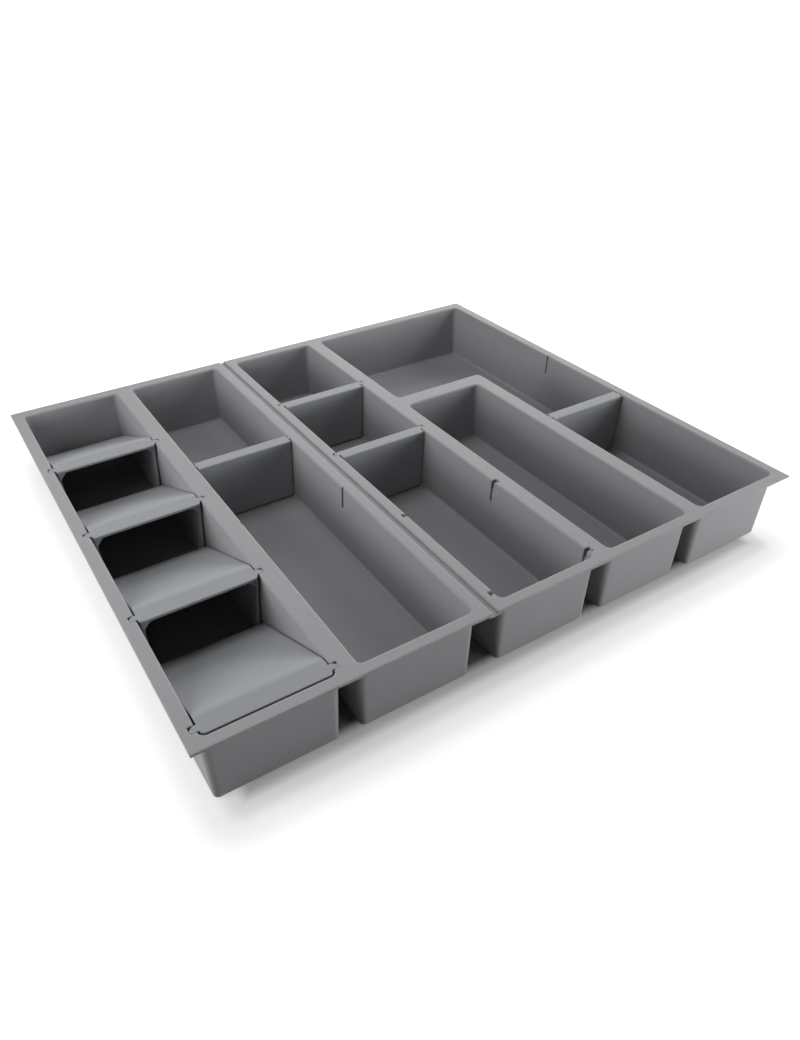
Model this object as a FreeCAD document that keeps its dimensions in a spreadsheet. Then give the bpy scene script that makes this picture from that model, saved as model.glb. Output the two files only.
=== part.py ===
import FreeCAD, Part
import math
import os
import re
import Sketcher

# A two-module drawer tray for cutlery and spice jars, in millimetres and degrees.
# X runs across the drawer to the right, Y from front to back, Z up from the drawer's floor.

SIZES = [
    # both tray modules
    ("overall_depth", 478),
    ("overall_height", 61),
    ("wall_thickness", 2),
    ("floor_thickness", 2),
    ("rim_thickness", 1.5),
    ("draft_angle", 2.5),
    ("floor_corner_radius", 1.8),
    ("step_radius", 5),
    ("mouth_chamfer", 0.8),
    ("floor_chamfer_share", 0.9),
    ("foot_chamfer", 1.2),
    ("edge_chamfer", 0.4),
    # rims and the bridges between compartments
    ("rim_width", 10),
    ("back_rim_width", 11.5),
    ("bridge_width", 15.5),
    ("cross_bridge_width", 18),
    # compartments from left to right
    ("ramp_cavity_width", 89.5),
    ("long_cavity_width", 90),
    ("slotted_cavity_width", 87),
    ("short_cavity_width", 84),
    ("short_cavity_length", 273.6),
    ("arm_cavity_width", 89.3),
    # seam where the right module's rim lies on the left module's ledge
    ("seam_rim_width", 9.5),
    ("groove_width", 4.8),
    ("ledge_overlap", 2.4),
    ("overlap_rim_width", 9.4),
    # slots that the inserts hang in
    ("seat_width", 5.4),
    ("seat_depth", 4.4),
    ("pocket_height", 8),
    ("slot_width", 3),
    ("slot_offset", 1.6),
    ("guide_depth", 1.2),
    ("guide_height", 20),
    ("rib_wall", 1),
    ("rib_toe", 1.6),
    ("first_seat_place", 7),
    ("row_end_gap", 10.5),
    ("long_slot_place", 180.5),
    ("long_slot_pitch", 99.5),
    ("arm_slot_place", 179),
    ("arm_slot_pitch", 105.5),
    # ears and fins of the inserts
    ("ear_thickness", 0.9),
    ("ear_clearance", 0.15),
    ("ear_chamfer_share", 0.5),
    ("fin_clearance", 0.3),
    # spice ramps
    ("front_clearance", 1),
    ("side_clearance", 1.2),
    ("foot_clearance", 1.5),
    ("ramp_gap", 0.8),
    ("ramp_thickness", 2),
    ("ramp_drop", 42.5),
    ("lip_depth", 16),
    ("bend_radius", 14),
    ("gusset_width", 7),
    ("gusset_height", 10),
    ("cheek_setback", 3.2),
    ("cheek_lean", 1.4),
    # dividers
    ("strip_width", 12),
    ("strip_offset", 2),
    ("strip_radius", 0.8),
    ("divider_thickness", 1.8),
    ("divider_clearance", 0.9),
    ("divider_foot_gap", 1.6),
]
SEAT_COUNT = 4
SLOT_COUNT = 2
TOLERANCE = 0.001

doc = FreeCAD.newDocument("cutlery_tray")
sheet = doc.addObject("Spreadsheet::Sheet", "Sizes")
for row, (alias, size) in enumerate(SIZES, start=1):
    sheet.set(f"A{row}", alias)
    sheet.set(f"B{row}", str(size))
    sheet.setAlias(f"B{row}", alias)
doc.recompute()


def reads(formula):
    """A formula in size names, as an expression that reads them from the sheet."""
    return re.sub(r"[a-z]+(?:_[a-z]+)+", lambda word: f"Sizes.{word.group()}", formula)


def value(formula):
    """The present value of a formula."""
    return float(sheet.evalExpression(reads(formula)))


def drive(item, name, formula):
    """Binds a property of an object to a formula."""
    item.setExpression(name, reads(formula))


# Places across and along each module, from that module's own front left corner.
ramp_right = "(rim_width + ramp_cavity_width)"
long_left = f"({ramp_right} + bridge_width)"
long_right = f"({long_left} + long_cavity_width)"
left_width = f"({long_right} + seam_rim_width)"
slotted_right = "(overlap_rim_width + slotted_cavity_width)"
short_left = f"({slotted_right} + bridge_width)"
short_right = f"({short_left} + short_cavity_width)"
arm_left = f"({short_right} + bridge_width)"
arm_right = f"({arm_left} + arm_cavity_width)"
right_width = f"({arm_right} + rim_width)"
right_place = f"({left_width} + groove_width)"
overall_width = f"({right_place} + {right_width})"
cavity_back = "(overall_depth - back_rim_width)"
short_back = "(rim_width + short_cavity_length)"
wide_front = f"({short_back} + cross_bridge_width)"
cavity_depth = "(overall_height - floor_thickness)"
cavity_radius = f"(floor_corner_radius + {cavity_depth} * tan(draft_angle))"
seat_place = "(rim_width + first_seat_place)"
seat_pitch = f"(({cavity_back} - rim_width - row_end_gap) / {SEAT_COUNT})"


def new_body(label, place_x, place_y):
    """A sub-part whose own origin stands at a place measured from the tray's front left corner."""
    body = doc.addObject("PartDesign::Body", label)
    body.Label = label
    drive(body, "Placement.Base.x", f"{place_x} - {overall_width} / 2")
    drive(body, "Placement.Base.y", f"{place_y} - overall_depth / 2")
    doc.recompute()
    return body


def new_sketch(body, name, plane, offset="0"):
    """A sketch on one of the body's own planes, moved along that plane's normal."""
    sketch = body.newObject("Sketcher::SketchObject", name)
    support = [item for item in body.Origin.OriginFeatures if item.Role == plane][0]
    sketch.AttachmentSupport = [(support, "")]
    sketch.MapMode = "FlatFace"
    drive(sketch, "AttachmentOffset.Base.z", offset)
    return sketch


def hold(sketch, direction, line, formula):
    """Holds the start of a line at a distance from the sketch's origin."""
    if formula == "0":
        axis = -2 if direction == "DistanceX" else -1
        sketch.addConstraint(Sketcher.Constraint("PointOnObject", line, 1, axis))
        return
    index = sketch.addConstraint(Sketcher.Constraint(direction, -1, 1, line, 1, value(formula)))
    drive(sketch, f"Constraints[{index}]", formula)


def add_polygon(sketch, corners):
    """A closed outline through corners given as pairs of formulas."""
    points = [FreeCAD.Vector(value(x), value(y), 0) for x, y in corners]
    first = sketch.GeometryCount
    count = len(points)
    for number in range(count):
        sketch.addGeometry(Part.LineSegment(points[number], points[(number + 1) % count]), False)
    for number in range(count):
        follower = first + (number + 1) % count
        sketch.addConstraint(Sketcher.Constraint("Coincident", first + number, 2, follower, 1))
    for number, (x, y) in enumerate(corners):
        hold(sketch, "DistanceX", first + number, x)
        hold(sketch, "DistanceY", first + number, y)


def add_rounded(sketch, corners):
    """A closed outline of runs along X and Y, in turn, with a radius (or 0) at each corner."""
    points = [FreeCAD.Vector(value(x), value(y), 0) for x, y, radius in corners]
    radii = [value(radius) for x, y, radius in corners]
    count = len(points)
    ways = [(points[(number + 1) % count] - points[number]).normalize() for number in range(count)]
    first = sketch.GeometryCount
    for number, way in enumerate(ways):
        follower = (number + 1) % count
        start = points[number] + way * radii[number]
        end = points[follower] - way * radii[follower]
        line = sketch.addGeometry(Part.LineSegment(start, end), False)
        upright = abs(way.y) > abs(way.x)
        sketch.addConstraint(Sketcher.Constraint("Vertical" if upright else "Horizontal", line))
    for number, after in enumerate(ways):
        before = ways[number - 1]
        previous = first + (number - 1) % count
        if corners[number][2] == "0":
            sketch.addConstraint(Sketcher.Constraint("Coincident", previous, 2, first + number, 1))
            continue
        turns_left = before.cross(after).z > 0
        start_way = -after if turns_left else before
        start_angle = math.atan2(start_way.y, start_way.x)
        centre = points[number] + (after - before) * radii[number]
        circle = Part.Circle(centre, FreeCAD.Vector(0, 0, 1), radii[number])
        turn = Part.ArcOfCircle(circle, start_angle, start_angle + math.pi / 2)
        arc = sketch.addGeometry(turn, False)
        start, end = (1, 2) if turns_left else (2, 1)
        sketch.addConstraint(Sketcher.Constraint("Tangent", previous, 2, arc, start))
        sketch.addConstraint(Sketcher.Constraint("Tangent", arc, end, first + number, 1))
        index = sketch.addConstraint(Sketcher.Constraint("Radius", arc, radii[number]))
        drive(sketch, f"Constraints[{index}]", corners[number][2])
    for number, (x, y, radius) in enumerate(corners):
        upright = abs(ways[number].y) > abs(ways[number].x)
        direction = "DistanceX" if upright else "DistanceY"
        hold(sketch, direction, first + number, x if upright else y)


def rectangle(left, front, right, back):
    """Corners of a plain rectangle."""
    return [(left, front), (right, front), (right, back), (left, back)]


def compartment(left, front, right, back, grow):
    """Corners of a rounded compartment, grown outward all round."""
    radius = f"({cavity_radius} + {grow})"
    low_x, low_y = f"({left} - {grow})", f"({front} - {grow})"
    high_x, high_y = f"({right} + {grow})", f"({back} + {grow})"
    return [(x, y, radius) for x, y in rectangle(low_x, low_y, high_x, high_y)]


def stepped_compartment(grow):
    """Corners of the L-shaped compartment, grown outward all round."""
    radius = f"({cavity_radius} + {grow})"
    arm_x, low_y = f"({arm_left} - {grow})", f"(rim_width - {grow})"
    high_x, high_y = f"({arm_right} + {grow})", f"({cavity_back} + {grow})"
    wide_x, wide_y = f"({short_left} - {grow})", f"({wide_front} - {grow})"
    outer = [(arm_x, low_y), (high_x, low_y), (high_x, high_y), (wide_x, high_y), (wide_x, wide_y)]
    return [(x, y, radius) for x, y in outer] + [(arm_x, wide_y, f"(step_radius - {grow})")]


def add_pad(body, name, sketch, length, reverse=False, taper="0"):
    """Adds the sketch's outline, drawn out along its normal or against it."""
    pad = body.newObject("PartDesign::Pad", name)
    pad.Profile = sketch
    pad.Reversed = reverse
    drive(pad, "Length", length)
    drive(pad, "TaperAngle", taper)
    doc.recompute()
    return pad


def add_pocket(body, name, sketch, depth, reverse=False, taper="0"):
    """Cuts the sketch's outline against its normal or along it, and makes sure that it cuts."""
    volume = body.Shape.Volume
    pocket = body.newObject("PartDesign::Pocket", name)
    pocket.Profile = sketch
    pocket.Reversed = reverse
    drive(pocket, "Length", depth)
    drive(pocket, "TaperAngle", taper)
    doc.recompute()
    if body.Shape.Volume > volume - TOLERANCE:
        raise RuntimeError(f"{name} cuts nothing")
    return pocket


def add_row(body, name, features, pitch, count):
    """Repeats features along Y at a pitch."""
    row = body.newObject("PartDesign::LinearPattern", name)
    row.Originals = features
    axis = [item for item in body.Origin.OriginFeatures if item.Role == "Y_Axis"][0]
    row.Direction = (axis, [""])
    row.Occurrences = count
    drive(row, "Length", f"{count - 1} * {pitch}")
    body.Tip = row
    doc.recompute()


def near(size, formula):
    """Whether a size agrees with a formula."""
    return abs(size - value(formula)) < TOLERANCE


def lies(edge, height):
    """Whether an edge lies level at a height."""
    return near(edge.BoundBox.ZMin, height) and near(edge.BoundBox.ZMax, height)


def on_outline(edge):
    """Whether an edge reaches the front or the back of its module."""
    return near(edge.BoundBox.YMin, "0") or near(edge.BoundBox.YMax, "overall_depth")


def dress_edges(body, name, kind, size, chooses):
    """Rounds or chamfers those edges of the body that a test chooses."""
    base = body.Tip
    edges = enumerate(base.Shape.Edges, start=1)
    chosen = [f"Edge{number}" for number, edge in edges if chooses(edge)]
    dressing = body.newObject(f"PartDesign::{kind}", name)
    dressing.Base = (base, chosen)
    drive(dressing, "Radius" if kind == "Fillet" else "Size", size)
    doc.recompute()


def add_shell(body, name, width, outlines, slots):
    """The moulding of one module: a rim with cups hanging under it, the compartments and their slots."""
    sketch = new_sketch(body, f"{name}_rim_outline", "XY_Plane", "overall_height")
    add_polygon(sketch, rectangle("0", "0", width, "overall_depth"))
    add_pad(body, f"{name}_rim", sketch, "rim_thickness", reverse=True)
    sketch = new_sketch(body, f"{name}_cup_outline", "XY_Plane", "overall_height")
    for outline in outlines:
        add_rounded(sketch, outline("wall_thickness"))
    add_pad(body, f"{name}_cups", sketch, "overall_height", reverse=True, taper="-draft_angle")
    for slot_name, left, right, place, pitch, count, seated in slots:
        if seated:
            add_ribs(body, slot_name, left, right, place, pitch, count)
    sketch = new_sketch(body, f"{name}_cavity_outline", "XY_Plane", "overall_height")
    for outline in outlines:
        add_rounded(sketch, outline("0"))
    add_pocket(body, f"{name}_cavities", sketch, cavity_depth, taper="-draft_angle")
    dress_edges(body, f"{name}_feet", "Chamfer", "foot_chamfer", lambda edge: lies(edge, "0"))
    floor_chamfer = "floor_chamfer_share * floor_corner_radius"
    dress_edges(body, f"{name}_floors", "Chamfer", floor_chamfer, lambda edge: lies(edge, "floor_thickness"))
    for part, size, outer in (("mouths", "mouth_chamfer", False), ("edges", "edge_chamfer", True)):
        dress_edges(body, f"{name}_{part}", "Chamfer", size,
                    lambda edge: lies(edge, "overall_height") and on_outline(edge) == outer)
    for slot in slots:
        add_slots(body, *slot)


def slot_middle(place, seated):
    """The middle of a slot's guide, which is offset from the slot's place where an ear has its seat there."""
    return f"({place} + slot_offset)" if seated else place


def add_ribs(body, name, left, right, place, pitch, count):
    """Short blunt-footed ribs outside two facing walls, which house the pockets of seated slots."""
    middle = slot_middle(place, True)
    half = "(slot_width / 2 + rib_wall)"
    front, back = f"({middle} - {half})", f"({middle} + {half})"
    low = "(overall_height - pocket_height - rib_wall)"
    reach = "(seat_depth + rib_wall)"
    root = "(wall_thickness / 2)"
    ribs = []
    for side, start in (("left", f"({left} - {reach})"), ("right", f"({right} - {root})")):
        sketch = new_sketch(body, f"{name}_{side}_rib_outline", "YZ_Plane", start)
        add_polygon(sketch, [
            (front, f"({low} + rib_toe)"),
            (f"({front} + rib_toe)", low),
            (f"({back} - rib_toe)", low),
            (back, f"({low} + rib_toe)"),
            (back, "overall_height"),
            (front, "overall_height"),
        ])
        ribs.append(add_pad(body, f"{name}_{side}_rib", sketch, f"{reach} + {root}"))
    add_row(body, f"{name}_ribs", ribs, pitch, count)


def leaning_sides(left, right, tip, root):
    """Outlines of two guides or fins that face each other: their outer edges lean as the walls do."""
    low = "(overall_height - guide_height)"
    lean = "(guide_height * tan(draft_angle))"
    side = [(f"-{tip}", "overall_height"), (f"({lean} - {tip})", low), (root, low), (root, "overall_height")]
    return [(f"({left} + {x})", z) for x, z in side], [(f"({right} - ({x}))", z) for x, z in side]


def add_slots(body, name, left, right, place, pitch, count, seated):
    """Guides for fins down two facing walls, with a pocket and an ear's seat in the rim over seated ones."""
    middle = slot_middle(place, seated)
    overrun = "(2 * wall_thickness)"
    openings = [("pocket", middle, "slot_width", "pocket_height"), ("seat", place, "seat_width", "ear_thickness")]
    cuts = []
    for part, centre, wide, drop in openings if seated else []:
        front, back = f"({centre} - {wide} / 2)", f"({centre} + {wide} / 2)"
        sketch = new_sketch(body, f"{name}_{part}_outline", "XY_Plane", "overall_height")
        add_polygon(sketch, rectangle(f"({left} - seat_depth)", front, f"({left} + {overrun})", back))
        add_polygon(sketch, rectangle(f"({right} - {overrun})", front, f"({right} + seat_depth)", back))
        cuts.append(add_pocket(body, f"{name}_{part}", sketch, drop))
    sketch = new_sketch(body, f"{name}_guide_outline", "XZ_Plane", f"slot_width / 2 - {middle}")
    for side in leaning_sides(left, right, "guide_depth", overrun):
        add_polygon(sketch, side)
    cuts.append(add_pocket(body, f"{name}_guide", sketch, "slot_width"))
    add_row(body, f"{name}_slots", cuts, pitch, count)


def add_ears(body, name, width, root, middle):
    """An ear on each side, which drops into a seat in the rim and leaves the seat's outer corner open."""
    ear_width = "(seat_width - 2 * ear_clearance)"
    tip = "(seat_depth - ear_clearance)"
    front, back = f"({middle} - {ear_width} / 2)", f"({middle} + {ear_width} / 2)"
    chamfer = f"(ear_chamfer_share * {ear_width})"
    side = [
        (f"-{tip}", front),
        (root, front),
        (root, back),
        (f"({chamfer} - {tip})", back),
        (f"-{tip}", f"({back} - {chamfer})"),
    ]
    sketch = new_sketch(body, f"{name}_ear_outline", "XY_Plane", "overall_height")
    add_polygon(sketch, side)
    add_polygon(sketch, [(f"({width} - ({x}))", y) for x, y in side])
    add_pad(body, f"{name}_ears", sketch, "ear_thickness", reverse=True)


def add_fins(body, name, width, root, middle):
    """A fin on each side, which slides down a guide and stands on the guide's foot."""
    half = "(slot_width / 2 - fin_clearance)"
    sketch = new_sketch(body, f"{name}_fin_outline", "XZ_Plane", f"{half} - {middle}")
    for side in leaning_sides("0", width, "(guide_depth - fin_clearance)", root):
        add_polygon(sketch, side)
    add_pad(body, f"{name}_fins", sketch, f"2 * {half}", reverse=True)


def drafted_front(width, clearance, inset, top, bottom):
    """A level-topped outline whose sides follow the compartment's leaning walls."""
    low = f"({clearance} + {inset} + (overall_height - {bottom}) * tan(draft_angle))"
    high = f"({clearance} + {inset} + (overall_height - {top}) * tan(draft_angle))"
    return [(low, bottom), (f"({width} - {low})", bottom), (f"({width} - {high})", top), (high, top)]


def add_ramp(label, number):
    """One spice ramp: a lip flush with the rim, a slope behind it and a cheek on each side."""
    body = new_body(label, "rim_width", f"(rim_width + front_clearance + {number} * {seat_pitch})")
    width = "ramp_cavity_width"
    foot = "(floor_thickness + foot_clearance)"
    length = f"({seat_pitch} - ramp_gap)"
    sketch = new_sketch(body, f"{label}_block_outline", "XZ_Plane")
    add_polygon(sketch, drafted_front(width, "side_clearance", "0", "overall_height", foot))
    add_pad(body, f"{label}_block", sketch, length, reverse=True)
    low = "(overall_height - ramp_drop)"
    sketch = new_sketch(body, f"{label}_slope_outline", "YZ_Plane")
    add_polygon(sketch, [("lip_depth", "overall_height"), (length, low), (length, "overall_height")])
    add_pocket(body, f"{label}_slope", sketch, width, reverse=True)
    dress_edges(body, f"{label}_bend", "Fillet", "bend_radius",
                lambda edge: lies(edge, "overall_height") and near(edge.BoundBox.YMin, "lip_depth"))
    base = body.Tip
    opened = []
    for index, face in enumerate(base.Shape.Faces, start=1):
        box = face.BoundBox
        at_front = box.YMax < TOLERANCE
        at_back = box.YMin > value(length) - TOLERANCE
        at_foot = box.ZMax < value(foot) + TOLERANCE
        if at_front or at_back or at_foot:
            opened.append(f"Face{index}")
    shell = body.newObject("PartDesign::Thickness", f"{label}_shell")
    shell.Base = (base, opened)
    shell.Reversed = True
    drive(shell, "Value", "ramp_thickness")
    doc.recompute()
    # the lip's front corners are rounded, and below them the cheeks are set back from the front wall
    near_x, far_x = "side_clearance", f"({width} - side_clearance)"
    lip_radius = f"({cavity_radius} - front_clearance)"
    sketch = new_sketch(body, f"{label}_corner_outline", "XY_Plane", "overall_height")
    add_polygon(sketch, rectangle("0", "-front_clearance", width, seat_pitch))
    add_rounded(sketch, [
        (near_x, "0", lip_radius),
        (far_x, "0", lip_radius),
        (far_x, length, "0"),
        (near_x, length, "0"),
    ])
    add_pocket(body, f"{label}_corners", sketch, "overall_height")
    low = "(overall_height - gusset_height)"
    setback = [("0", low), ("0", "0"), ("(cheek_setback + cheek_lean)", "0"), ("cheek_setback", low)]
    sketch = new_sketch(body, f"{label}_setback_outline", "YZ_Plane")
    add_polygon(sketch, setback)
    add_pocket(body, f"{label}_setback", sketch, width, reverse=True)
    root = "(side_clearance + ramp_thickness)"
    under = "(overall_height - ramp_thickness)"
    side = [(root, low), (f"({root} + gusset_width)", under), (root, under)]
    sketch = new_sketch(body, f"{label}_gusset_outline", "XZ_Plane", "-ramp_thickness")
    add_polygon(sketch, side)
    add_polygon(sketch, [(f"({width} - {x})", y) for x, y in side])
    add_pad(body, f"{label}_gussets", sketch, "ramp_thickness", reverse=True)
    middle = "(first_seat_place - front_clearance)"
    add_ears(body, label, width, root, middle)
    add_fins(body, label, width, root, slot_middle(middle, True))


def add_divider(label, width, place_x, place_y, shift, seated):
    """One divider: a channel open below, whose strip lies flush with the rim."""
    body = new_body(label, place_x, f"({place_y} - {shift} - strip_width / 2)")
    top = "overall_height"
    foot = "(floor_thickness + divider_foot_gap)"
    sketch = new_sketch(body, f"{label}_block_outline", "XZ_Plane")
    add_polygon(sketch, drafted_front(width, "divider_clearance", "0", top, foot))
    add_pad(body, f"{label}_block", sketch, "strip_width", reverse=True)
    dress_edges(body, f"{label}_edges", "Fillet", "strip_radius", lambda edge: lies(edge, top))
    under = "(overall_height - divider_thickness)"
    sketch = new_sketch(body, f"{label}_hollow_outline", "XZ_Plane", "-divider_thickness")
    add_polygon(sketch, drafted_front(width, "divider_clearance", "divider_thickness", under, "0"))
    add_pocket(body, f"{label}_hollow", sketch, "strip_width - 2 * divider_thickness")
    root = "(divider_clearance + divider_thickness)"
    middle = f"(strip_width / 2 + {shift})"
    if seated:
        add_ears(body, label, width, root, middle)
    add_fins(body, label, width, root, slot_middle(middle, seated))


# The left module holds the spice ramps and one long compartment.
long_place = "(rim_width + long_slot_place)"
arm_place = "(rim_width + arm_slot_place)"
left_tray = new_body("left_tray", "0", "0")
left_outlines = [
    lambda grow: compartment("rim_width", "rim_width", ramp_right, cavity_back, grow),
    lambda grow: compartment(long_left, "rim_width", long_right, cavity_back, grow),
]
add_shell(left_tray, "left", left_width, left_outlines, [
    ("ramp", "rim_width", ramp_right, seat_place, seat_pitch, SEAT_COUNT, True),
    ("long", long_left, long_right, long_place, "long_slot_pitch", SLOT_COUNT, False),
])
ledge_end = f"({right_place} + ledge_overlap)"
ledge_outline = new_sketch(left_tray, "ledge_outline", "XY_Plane", "overall_height - rim_thickness")
add_polygon(ledge_outline, rectangle(f"({left_width} - 2 * rim_thickness)", "0", ledge_end, "overall_depth"))
add_pad(left_tray, "ledge", ledge_outline, "rim_thickness", reverse=True)

# The right module holds a slotted compartment, a short one and an L-shaped one.
right_tray = new_body("right_tray", right_place, "0")
right_outlines = [
    lambda grow: compartment("overlap_rim_width", "rim_width", slotted_right, cavity_back, grow),
    lambda grow: compartment(short_left, "rim_width", short_right, short_back, grow),
    stepped_compartment,
]
add_shell(right_tray, "right", right_width, right_outlines, [
    ("slotted", "overlap_rim_width", slotted_right, seat_place, seat_pitch, SEAT_COUNT, True),
    ("arm", arm_left, arm_right, arm_place, "arm_slot_pitch", SLOT_COUNT, False),
])

# Inserts hang in the slots: four ramps, then the dividers.
for number, label in enumerate(["ramp_front", "ramp_second", "ramp_third", "ramp_back"]):
    add_ramp(label, number)
slotted_x = f"({right_place} + overlap_rim_width)"
arm_x = f"({right_place} + {arm_left})"
back_slot = f"({long_place} + long_slot_pitch)"
third_seat = f"({seat_place} + 2 * {seat_pitch})"
last_seat = f"({seat_place} + 3 * {seat_pitch})"
add_divider("divider_long", "long_cavity_width", long_left, back_slot, "0", False)
add_divider("divider_middle", "slotted_cavity_width", slotted_x, third_seat, "strip_offset", True)
add_divider("divider_back", "slotted_cavity_width", slotted_x, last_seat, "strip_offset", True)
add_divider("divider_arm", "arm_cavity_width", arm_x, arm_place, "0", False)

doc.recompute()
for item in doc.Objects:
    if "Invalid" in item.State or "Error" in item.State:
        raise RuntimeError(f"{item.Label} did not build")
os.makedirs("parts", exist_ok=True)
for body in [item for item in doc.Objects if item.TypeId == "PartDesign::Body"]:
    if body.Shape.isNull() or not body.Shape.isValid() or len(body.Shape.Solids) != 1:
        raise RuntimeError(f"{body.Label} is not one sound solid")
    body.Shape.exportStep(f"parts/{body.Label}.step")
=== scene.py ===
import math
import bpy
from mathutils import Matrix, Vector


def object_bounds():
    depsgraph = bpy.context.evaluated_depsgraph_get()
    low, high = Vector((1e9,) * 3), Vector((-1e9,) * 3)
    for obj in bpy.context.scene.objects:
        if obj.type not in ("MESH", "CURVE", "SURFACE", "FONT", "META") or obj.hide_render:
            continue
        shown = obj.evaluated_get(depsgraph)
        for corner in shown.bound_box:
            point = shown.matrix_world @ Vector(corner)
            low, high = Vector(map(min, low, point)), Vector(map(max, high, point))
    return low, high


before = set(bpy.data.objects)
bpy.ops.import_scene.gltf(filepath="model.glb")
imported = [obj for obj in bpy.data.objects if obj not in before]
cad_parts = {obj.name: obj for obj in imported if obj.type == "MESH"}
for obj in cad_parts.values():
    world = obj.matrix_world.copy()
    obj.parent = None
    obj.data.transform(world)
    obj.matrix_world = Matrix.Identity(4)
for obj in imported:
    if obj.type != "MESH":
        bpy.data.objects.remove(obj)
cad_low, cad_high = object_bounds()

# The two tray modules: thin grey polystyrene mouldings, a flat rim with deep cups hanging under it.
# The mould is spark-eroded, so the skin has a fine matt grain, and hands polish the rim's edges; outer
# edges are painted lighter, as rub wear and as a painted highlight.
# The right module's edge only lies on the left one's ledge, with a narrow groove between the rims.
TRAY_DARK = (0.292, 0.286, 0.300, 1.0)
TRAY_LIGHT = (0.319, 0.313, 0.328, 1.0)
TRAY_RUBBED_AND_HIGHLIGHT = (0.376, 0.371, 0.386, 1.0)


def new_group(name, inputs, outputs):
    """An empty shader node group with number inputs and typed outputs, and both ends' sockets."""
    tree = bpy.data.node_groups.new(name, "ShaderNodeTree")
    for socket_name in inputs:
        tree.interface.new_socket(socket_name, in_out="INPUT", socket_type="NodeSocketFloat")
    for socket_name, kind in outputs.items():
        tree.interface.new_socket(socket_name, in_out="OUTPUT", socket_type=f"NodeSocket{kind}")
    return tree, tree.nodes.new("NodeGroupInput").outputs, tree.nodes.new("NodeGroupOutput").inputs


def add_node(tree, kind, feeds=None, **settings):
    """A node with its settings, its inputs fed by other sockets or set to plain values."""
    node = tree.nodes.new(f"ShaderNode{kind}")
    for name, setting in settings.items():
        setattr(node, name, setting)
    for name, source in (feeds or {}).items():
        if isinstance(source, bpy.types.NodeSocket):
            tree.links.new(source, node.inputs[name])
        else:
            node.inputs[name].default_value = source
    return node


def spread(tree, source, low, high, least=0.0, most=1.0):
    """Maps a value from low..high to least..most, and holds it there."""
    return add_node(tree, "MapRange", {
        "Value": source,
        "From Min": low,
        "From Max": high,
        "To Min": least,
        "To Max": most,
    }).outputs["Result"]


# A Mix node's sockets for colours go by number, because their names repeat.
MIX_SHARE, MIX_FIRST, MIX_SECOND, MIX_RESULT = 0, 6, 7, 2


def blended(tree, share, first, second):
    """The first colour with a share of the second laid over it."""
    feeds = {MIX_SHARE: share, MIX_FIRST: first, MIX_SECOND: second}
    return add_node(tree, "Mix", feeds, data_type="RGBA").outputs[MIX_RESULT]


def combined(tree, how, first, second=0.0):
    """Two values joined by a Math node's operation, or one value changed by it."""
    return add_node(tree, "Math", {0: first, 1: second}, operation=how).outputs[0]


def build_moulded_grain():
    """Spark-eroded grain for the bump, its small mottling, and the broad drift of the melt's tone."""
    noise_low, noise_high = 0.28, 0.72
    noise_roughness = 0.6
    octaves = {"Height": 2.0, "Mottle": 3.0, "Drift": 2.0}
    densities = {"Height": "Grain per metre", "Mottle": "Mottle per metre", "Drift": "Drift per metre"}
    tree, given, made = new_group("moulded_grain", densities.values(), dict.fromkeys(densities, "Float"))
    place = add_node(tree, "TexCoord").outputs["Object"]
    for layer, density in densities.items():
        noise = add_node(tree, "TexNoise", {
            "Vector": place,
            "Scale": given[density],
            "Detail": octaves[layer],
            "Roughness": noise_roughness,
        })
        tree.links.new(spread(tree, noise.outputs["Fac"], noise_low, noise_high), made[layer])
    return tree


def build_soft_edges():
    """Rounds the moulding's edges in the shading, and finds outer edges for rub wear and a painted
    highlight, and inner corners for painted shade.
    """
    edge_samples, corner_samples = 6, 4
    straight_match, turned_match = 0.995, 0.90
    sheltered, open_edge = 0.72, 0.92
    corner_start, corner_full = 0.80, 0.45
    tree, given, made = new_group(
        "soft_edges",
        ["Edge radius", "Corner reach"],
        {"Normal": "Vector", "Rubbed and highlight": "Float", "Corner": "Float"},
    )
    radius = {"Radius": given["Edge radius"]}
    rounded = add_node(tree, "Bevel", radius, samples=edge_samples).outputs["Normal"]
    plain = add_node(tree, "NewGeometry").outputs["Normal"]
    match = add_node(tree, "VectorMath", {0: rounded, 1: plain}, operation="DOT_PRODUCT").outputs["Value"]
    reach = {"Distance": given["Corner reach"]}
    shelter = add_node(tree, "AmbientOcclusion", reach, samples=corner_samples, only_local=True)
    open_air = shelter.outputs["AO"]
    turning = spread(tree, match, straight_match, turned_match)
    outside = spread(tree, open_air, sheltered, open_edge)
    tree.links.new(rounded, made["Normal"])
    tree.links.new(combined(tree, "MULTIPLY", turning, outside), made["Rubbed and highlight"])
    tree.links.new(spread(tree, open_air, corner_start, corner_full), made["Corner"])
    return tree


def build_slide_marks():
    """Faint fine scratches that run one way, thin and broken, in patches."""
    patches_per_metre = 24.0
    line_octaves, patch_octaves = 2.0, 1.0
    line_start, line_full = 0.62, 0.70
    patch_start, patch_full = 0.45, 0.65
    tree, given, made = new_group(
        "slide_marks",
        ["Lines per metre", "Breaks per metre", "Turn"],
        {"Marks": "Float"},
    )
    place = add_node(tree, "TexCoord").outputs["Object"]
    turn = add_node(tree, "CombineXYZ", {"Z": given["Turn"]}).outputs[0]
    size = add_node(tree, "CombineXYZ", {
        "X": given["Lines per metre"],
        "Y": given["Breaks per metre"],
        "Z": given["Breaks per metre"],
    }).outputs[0]
    drawn = add_node(tree, "Mapping", {"Vector": place, "Rotation": turn, "Scale": size}).outputs[0]
    lines = add_node(tree, "TexNoise", {"Vector": drawn, "Scale": 1.0, "Detail": line_octaves})
    patches = add_node(tree, "TexNoise", {
        "Vector": place,
        "Scale": patches_per_metre,
        "Detail": patch_octaves,
    })
    thin = spread(tree, lines.outputs["Fac"], line_start, line_full)
    where = spread(tree, patches.outputs["Fac"], patch_start, patch_full)
    tree.links.new(combined(tree, "MULTIPLY", thin, where), made["Marks"])
    return tree


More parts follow.
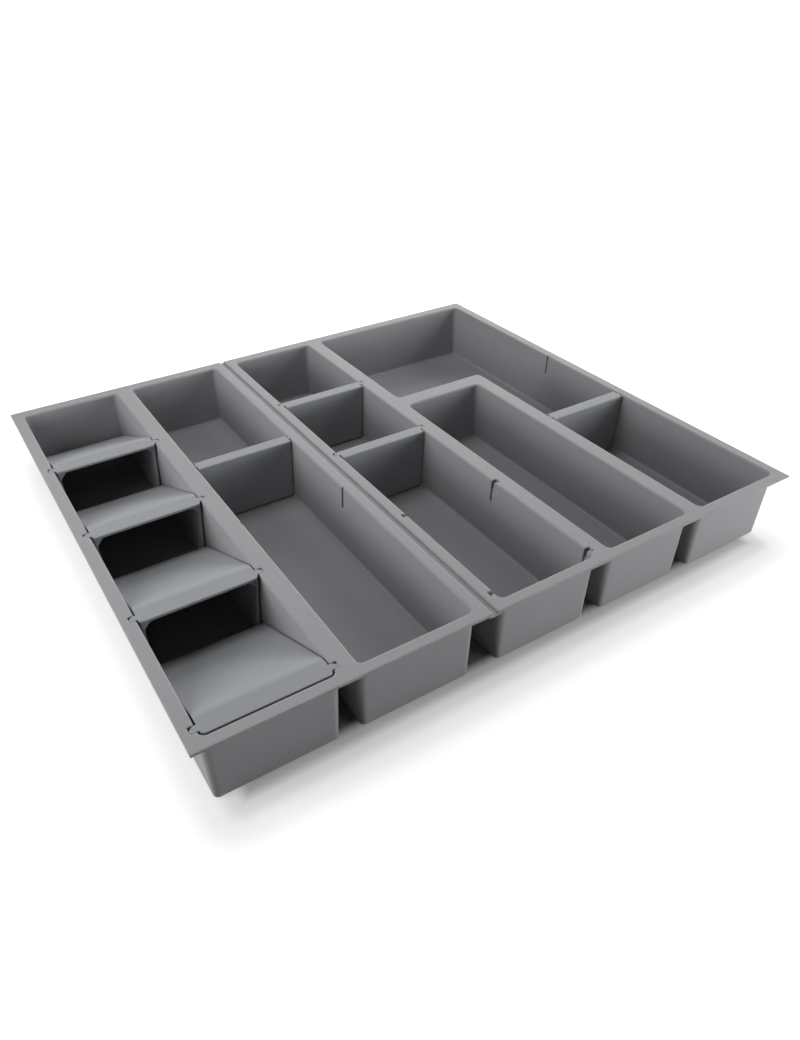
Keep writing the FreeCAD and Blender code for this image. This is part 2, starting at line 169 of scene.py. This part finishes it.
def place_group(tree, group, values):
    """A node group put in a material with that material's own values, and its outputs."""
    node = tree.nodes.new("ShaderNodeGroup")
    node.node_tree = group
    for name, value in values.items():
        node.inputs[name].default_value = value
    return node.outputs


moulded_grain = build_moulded_grain()
soft_edges = build_soft_edges()
slide_marks = build_slide_marks()
# How strongly mottling, rub wear with its painted edge highlight, painted corner shade and marks show,
# and the height of the grain in metres.
MOTTLE_SHARE = 0.45
LEAST_RUB_AND_HIGHLIGHT_SHARE, MOST_RUB_AND_HIGHLIGHT_SHARE = 0.25, 0.65
CORNER_SHADE_SHARE = 0.30
CORNER_SHADE_TONE_SHARE = 0.78
MARK_GLOSS_SHARE = 0.5
UNEVEN_MATT = 0.03
SPECULAR_LEVEL = 0.28
GRAIN_HEIGHT = 0.00015


def moulded_plastic(name, colours, matt, polished, grain_depth, mark_share, grain, edges, marks):
    """Moulded plastic: drifting tone, rub wear and a painted highlight on outer edges, painted shade in
    corners, slide marks and a fine grain.
    """
    dark, light, rubbed_and_highlight_tone = colours
    material = bpy.data.materials.new(name)
    material.use_nodes = True
    tree = material.node_tree
    shader = tree.nodes["Principled BSDF"]
    skin = place_group(tree, moulded_grain, grain)
    shape = place_group(tree, soft_edges, edges)
    scratched = place_group(tree, slide_marks, marks)["Marks"]
    tone = blended(tree, MOTTLE_SHARE, skin["Drift"], skin["Mottle"])
    cast = blended(tree, tone, dark, light)
    rub_and_highlight_share = spread(tree, skin["Mottle"], 0.0, 1.0, LEAST_RUB_AND_HIGHLIGHT_SHARE, MOST_RUB_AND_HIGHLIGHT_SHARE)
    # Outer edges turn lighter: partly rub wear, partly a painted highlight.
    handled_and_highlighted = blended(tree, combined(tree, "MULTIPLY", shape["Rubbed and highlight"], rub_and_highlight_share), cast, rubbed_and_highlight_tone)
    marked = blended(tree, combined(tree, "MULTIPLY", scratched, mark_share), handled_and_highlighted, rubbed_and_highlight_tone)
    # Painted shade: inner corners and narrow hollows are darkened towards a deeper grey.
    corner_shade_share = combined(tree, "MULTIPLY", shape["Corner"], CORNER_SHADE_SHARE)
    painted_corner_shade = tuple(CORNER_SHADE_TONE_SHARE * part for part in dark[:3]) + (1.0,)
    tree.links.new(blended(tree, corner_shade_share, marked, painted_corner_shade), shader.inputs["Base Color"])
    mark_gloss = combined(tree, "MULTIPLY", scratched, MARK_GLOSS_SHARE)
    gloss = combined(tree, "MAXIMUM", shape["Rubbed and highlight"], mark_gloss)
    rough = spread(tree, skin["Mottle"], 0.0, 1.0, matt - UNEVEN_MATT, matt + UNEVEN_MATT)
    shine = combined(tree, "MULTIPLY", gloss, matt - polished)
    tree.links.new(combined(tree, "SUBTRACT", rough, shine), shader.inputs["Roughness"])
    shader.inputs["Specular IOR Level"].default_value = SPECULAR_LEVEL
    bump = add_node(tree, "Bump", {
        "Height": skin["Height"],
        "Strength": grain_depth,
        "Distance": GRAIN_HEIGHT,
        "Normal": shape["Normal"],
    })
    tree.links.new(bump.outputs["Normal"], shader.inputs["Normal"])
    return material


def wear_material(node_name, material):
    """Puts a material on a CAD node in place of what it came with."""
    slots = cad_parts[node_name].data.materials
    slots.clear()
    slots.append(material)


tray_plastic = moulded_plastic(
    "tray_plastic",
    (TRAY_DARK, TRAY_LIGHT, TRAY_RUBBED_AND_HIGHLIGHT),
    matt=0.56,
    polished=0.44,
    grain_depth=0.22,
    mark_share=0.22,
    grain={"Grain per metre": 1900.0, "Mottle per metre": 210.0, "Drift per metre": 7.0},
    edges={"Edge radius": 0.0022, "Corner reach": 0.007},
    marks={"Lines per metre": 800.0, "Breaks per metre": 12.0, "Turn": math.radians(6.0)},
)
for node_name in ("left_tray", "right_tray"):
    wear_material(node_name, tray_plastic)

# The four spice ramps: one bent sheet each, moulded in a cooler grey from another batch of plastic.
# A ramp hangs by two ears in the slots of the left compartment and slopes down to the next one's lip.
# Jars are pushed up and down the slope, so its faint scratches run that way.
RAMP_DARK = (0.276, 0.286, 0.298, 1.0)
RAMP_LIGHT = (0.301, 0.312, 0.325, 1.0)
RAMP_RUBBED_AND_HIGHLIGHT = (0.360, 0.372, 0.386, 1.0)
ramp_plastic = moulded_plastic(
    "ramp_plastic",
    (RAMP_DARK, RAMP_LIGHT, RAMP_RUBBED_AND_HIGHLIGHT),
    matt=0.60,
    polished=0.48,
    grain_depth=0.20,
    mark_share=0.30,
    grain={"Grain per metre": 2100.0, "Mottle per metre": 240.0, "Drift per metre": 11.0},
    edges={"Edge radius": 0.0011, "Corner reach": 0.006},
    marks={"Lines per metre": 700.0, "Breaks per metre": 10.0, "Turn": 0.0},
)
for node_name in ("ramp_front", "ramp_second", "ramp_third", "ramp_back"):
    wear_material(node_name, ramp_plastic)

# The four dividers: a thin upright plate under a flat strip, moulded in one piece in the ramps' grey,
# here made a little darker as painted shade.
# The fins at a divider's ends stand in the slots of the compartment's walls and lift straight out.
# Cutlery that is dropped in leaves short marks along the plate.
# Painted shade: these greys are the ramps' greys made a little darker.
DIVIDER_SHADED_DARK = (0.269, 0.279, 0.288, 1.0)
DIVIDER_SHADED_LIGHT = (0.294, 0.305, 0.315, 1.0)
DIVIDER_SHADED_RUBBED_AND_HIGHLIGHT = (0.352, 0.364, 0.374, 1.0)
shaded_divider_plastic = moulded_plastic(
    "shaded_divider_plastic",
    (DIVIDER_SHADED_DARK, DIVIDER_SHADED_LIGHT, DIVIDER_SHADED_RUBBED_AND_HIGHLIGHT),
    matt=0.56,
    polished=0.45,
    grain_depth=0.20,
    mark_share=0.22,
    grain={"Grain per metre": 2000.0, "Mottle per metre": 230.0, "Drift per metre": 12.0},
    edges={"Edge radius": 0.0009, "Corner reach": 0.006},
    marks={"Lines per metre": 600.0, "Breaks per metre": 16.0, "Turn": math.radians(90.0)},
)
for node_name in ("divider_long", "divider_middle", "divider_back", "divider_arm"):
    wear_material(node_name, shaded_divider_plastic)

# The studio floor is a wide white sheet that the tray stands on, and it runs out of the picture.
# It is painted white for the camera and for reflections, with a painted shadow round the tray's foot and
# a darker painted shade under it:
# each stop gives the share of white at a distance from the tray's footprint, less than 0 under it.
WHITE = (1.0, 1.0, 1.0, 1.0)
FLOOR_SPAN = 30.0
FLOOR_GAP = 0.0003
FLOOR_PAINT = (0.40, 0.40, 0.40, 1.0)
# Painted shade: the floor's colour under the tray is darker.
FLOOR_UNDER_PAINTED_SHADE = (0.28, 0.28, 0.28, 1.0)
# The painted shadow reaches less far at the tray's sides.
PAINTED_SHADOW_SIDE_INSET = 0.025
PAINTED_SHADOW_STOPS = (
    (-0.020, 0.0),
    (-0.008, 0.22),
    (0.004, 0.48),
    (0.018, 0.66),
    (0.040, 0.80),
    (0.090, 0.94),
    (0.200, 1.0),
)


def distance_from_tray(tree):
    """How far a point of the floor lies outside the tray's footprint, less than 0 under the tray."""
    place = add_node(tree, "SeparateXYZ", {0: add_node(tree, "TexCoord").outputs["Object"]}).outputs
    beyond = [
        combined(tree, "SUBTRACT", combined(tree, "ABSOLUTE", place[axis]), reach)
        for axis, reach in (("X", cad_high.x - PAINTED_SHADOW_SIDE_INSET), ("Y", cad_high.y))
    ]
    outside = [combined(tree, "MAXIMUM", reach, 0.0) for reach in beyond]
    squares = [combined(tree, "MULTIPLY", reach, reach) for reach in outside]
    clear = combined(tree, "SQRT", combined(tree, "ADD", *squares))
    under = combined(tree, "MINIMUM", combined(tree, "MAXIMUM", *beyond), 0.0)
    return combined(tree, "ADD", clear, under)


def painted_shadow_ramp(tree, distance):
    """The share of white that the floor keeps at a distance from the tray, a painted shadow eased between
    the stops.
    """
    nearest, farthest = PAINTED_SHADOW_STOPS[0][0], PAINTED_SHADOW_STOPS[-1][0]
    ramp = add_node(tree, "ValToRGB", {"Fac": spread(tree, distance, nearest, farthest)})
    ramp.color_ramp.interpolation = "EASE"
    stops = ramp.color_ramp.elements
    while len(stops) < len(PAINTED_SHADOW_STOPS):
        stops.new(1.0)
    for stop, (reach, share) in zip(stops, PAINTED_SHADOW_STOPS):
        stop.position = (reach - nearest) / (farthest - nearest)
        stop.color = (share, share, share, 1.0)
    return ramp.outputs["Color"]


def looked_at(tree):
    """1 for what the camera, reflections and glass see, and 0 for the light that falls on the tray."""
    path = add_node(tree, "LightPath").outputs
    seen = combined(tree, "MAXIMUM", path["Is Camera Ray"], path["Is Glossy Ray"])
    return combined(tree, "MAXIMUM", seen, path["Is Transmission Ray"])


scene = bpy.context.scene
scene.view_settings.view_transform = "Standard"
half = FLOOR_SPAN / 2
floor_corners = [(-half, -half, 0.0), (half, -half, 0.0), (half, half, 0.0), (-half, half, 0.0)]
floor_mesh = bpy.data.meshes.new("floor")
floor_mesh.from_pydata(floor_corners, [], [(0, 1, 2, 3)])
floor = bpy.data.objects.new("floor", floor_mesh)
floor.location.z = cad_low.z - FLOOR_GAP
scene.collection.objects.link(floor)
floor_paint = bpy.data.materials.new("floor_paint")
floor_paint.use_nodes = True
tree = floor_paint.node_tree
tree.nodes.remove(tree.nodes["Principled BSDF"])
# Painted shadow: the floor's white glow fades towards the tray's foot, and its colour turns to the darker
# painted shade under the tray.
white_past_painted_shadow = painted_shadow_ramp(tree, distance_from_tray(tree))
paint = add_node(tree, "BsdfDiffuse", {"Color": blended(tree, white_past_painted_shadow, FLOOR_UNDER_PAINTED_SHADE, FLOOR_PAINT)})
camera_white_past_painted_shadow = combined(tree, "MULTIPLY", looked_at(tree), white_past_painted_shadow)
glow = add_node(tree, "Emission", {"Color": WHITE, "Strength": camera_white_past_painted_shadow})
both = add_node(tree, "AddShader", {0: paint.outputs[0], 1: glow.outputs[0]})
tree.links.new(both.outputs[0], tree.nodes["Material Output"].inputs["Surface"])
floor_mesh.materials.append(floor_paint)

# The studio air is the white room round the floor sheet, seen past its far edge.
# It is white to the camera and in reflections, and gives the tray only a little light.
AIR_LIGHT = 0.015
world = bpy.data.worlds.new("studio_air")
scene.world = world
world.use_nodes = True
tree = world.node_tree
air = tree.nodes["Background"]
air.inputs["Color"].default_value = WHITE
tree.links.new(spread(tree, looked_at(tree), 0.0, 1.0, AIR_LIGHT, 1.0), air.inputs["Strength"])

# The softboxes are cloth-faced lamps hung round the tray: one over its middle, one behind it over a
# long low panel, two on the left, two on the right, and a low panel in front for the outer walls.
# Each has its place in metres, the point that it looks at, its width and height, and its watts.
TRAY_MIDDLE = Vector((0.0, 0.0, 0.03))
TRAY_FRONT = Vector((0.0, -0.1, 0.03))


def hang_softbox(name, place, aim, width, height, watts):
    """A rectangular lamp that looks from its place to a point, and that the camera doesn't see."""
    lamp = bpy.data.lights.new(name, "AREA")
    lamp.shape = "RECTANGLE"
    lamp.size, lamp.size_y = width, height
    lamp.energy = watts
    softbox = bpy.data.objects.new(name, lamp)
    softbox.location = place
    softbox.rotation_mode = "QUATERNION"
    softbox.rotation_quaternion = (aim - softbox.location).to_track_quat("-Z", "Y")
    softbox.visible_camera = False
    scene.collection.objects.link(softbox)


hang_softbox("top_softbox", (-0.10, 0.15, 0.90), TRAY_MIDDLE, width=0.45, height=0.45, watts=2.4)
hang_softbox("back_softbox", (0.80, 1.10, 0.80), TRAY_MIDDLE, width=1.20, height=0.60, watts=7.8)
hang_softbox("back_panel", (1.90, 2.50, 0.60), TRAY_MIDDLE, width=4.50, height=1.10, watts=27.0)
hang_softbox("left_softbox", (-0.70, 0.0, 0.35), TRAY_MIDDLE, width=0.45, height=0.45, watts=1.9)
hang_softbox("left_panel", (-1.20, 0.20, 0.35), TRAY_MIDDLE, width=0.60, height=0.40, watts=4.1)
hang_softbox("right_softbox", (1.20, -0.20, 0.70), TRAY_FRONT, width=0.45, height=0.45, watts=6.3)
hang_softbox("right_panel", (0.90, -0.40, 0.12), TRAY_FRONT, width=0.40, height=0.20, watts=2.1)
hang_softbox("front_panel", (0.50, -0.88, 0.12), TRAY_FRONT, width=0.50, height=0.20, watts=3.6)

# The camera stands to the left in front of the tray and looks down at it.
# Its place, turn and focal length were fitted to the tray's straight edges, for an 800 x 1040 picture,
# whose height, the longer side, takes the sensor's width.
IMAGE_HEIGHT = 1040
FOCAL_PIXELS = 808.93
CAMERA_PLACE = Vector((-0.32052, -0.54739, 0.43129))
HEADING = math.radians(32.417)
PITCH = math.radians(35.727)
ROLL = math.radians(-0.4735)
camera_data = bpy.data.cameras.new("camera")
camera_data.lens = FOCAL_PIXELS / IMAGE_HEIGHT * camera_data.sensor_width
camera = bpy.data.objects.new("camera", camera_data)
scene.collection.objects.link(camera)
scene.camera = camera
ahead = Vector((math.sin(HEADING), math.cos(HEADING), 0.0))
level = Vector((math.cos(HEADING), -math.sin(HEADING), 0.0))
forward = ahead * math.cos(PITCH) - Vector((0.0, 0.0, math.sin(PITCH)))
upward = level.cross(forward)
right = level * math.cos(ROLL) + upward * math.sin(ROLL)
top = upward * math.cos(ROLL) - level * math.sin(ROLL)
turn = Matrix((right, top, -forward)).transposed()
camera.matrix_world = Matrix.Translation(CAMERA_PLACE) @ turn.to_4x4()
